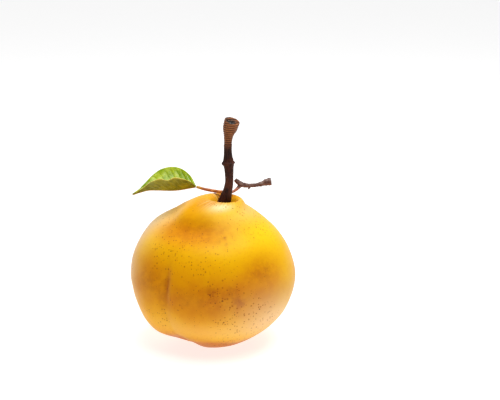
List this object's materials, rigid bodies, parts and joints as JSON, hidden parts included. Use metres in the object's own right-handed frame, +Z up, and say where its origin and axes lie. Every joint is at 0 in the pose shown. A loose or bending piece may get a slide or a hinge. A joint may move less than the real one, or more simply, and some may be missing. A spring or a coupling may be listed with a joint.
{
  "type": "quince",
  "caption": "Quince as picked: knobbly pear-shouldered fruit with a woody stalk, a side twig with one folded leaf, and a dried calyx under the base.",
  "frame": {"origin": "the point of the table under the middle of the whole quince, stalk and leaf included", "axes": "+Z up along the fruit's core towards the stalk, +X to the right as seen from the front (towards the dry twig's end, away from the leaf), -Y towards the front"},
  "size_m": [0.0854, 0.0842, 0.1176],
  "materials": {
    "skin": "smooth waxy golden-yellow fruit skin with small brown pores and orange-brown flushes",
    "stalk": "dark brown bark with fine ring ridges, and a tan rim round a dark cut end",
    "twig": "rough grey-brown bark, with a pinkish young shoot",
    "petiole": "smooth orange-brown leaf stem",
    "leaf": "glossy green above with pale veins, and dull olive below with a pale yellow edge",
    "calyx": "dry brown, shrivelled"
  },
  "bodies": {
    "root": {"quince_fruit": "skin", "fruit_stalk": "stalk", "forked_twig": "twig", "leaf_petiole": "petiole", "leaf_blade": "leaf", "sepal_1": "calyx", "sepal_2": "calyx", "sepal_3": "calyx", "sepal_4": "calyx", "sepal_5": "calyx", "stamen_tuft": "calyx"}
  },
  "joints": []
}
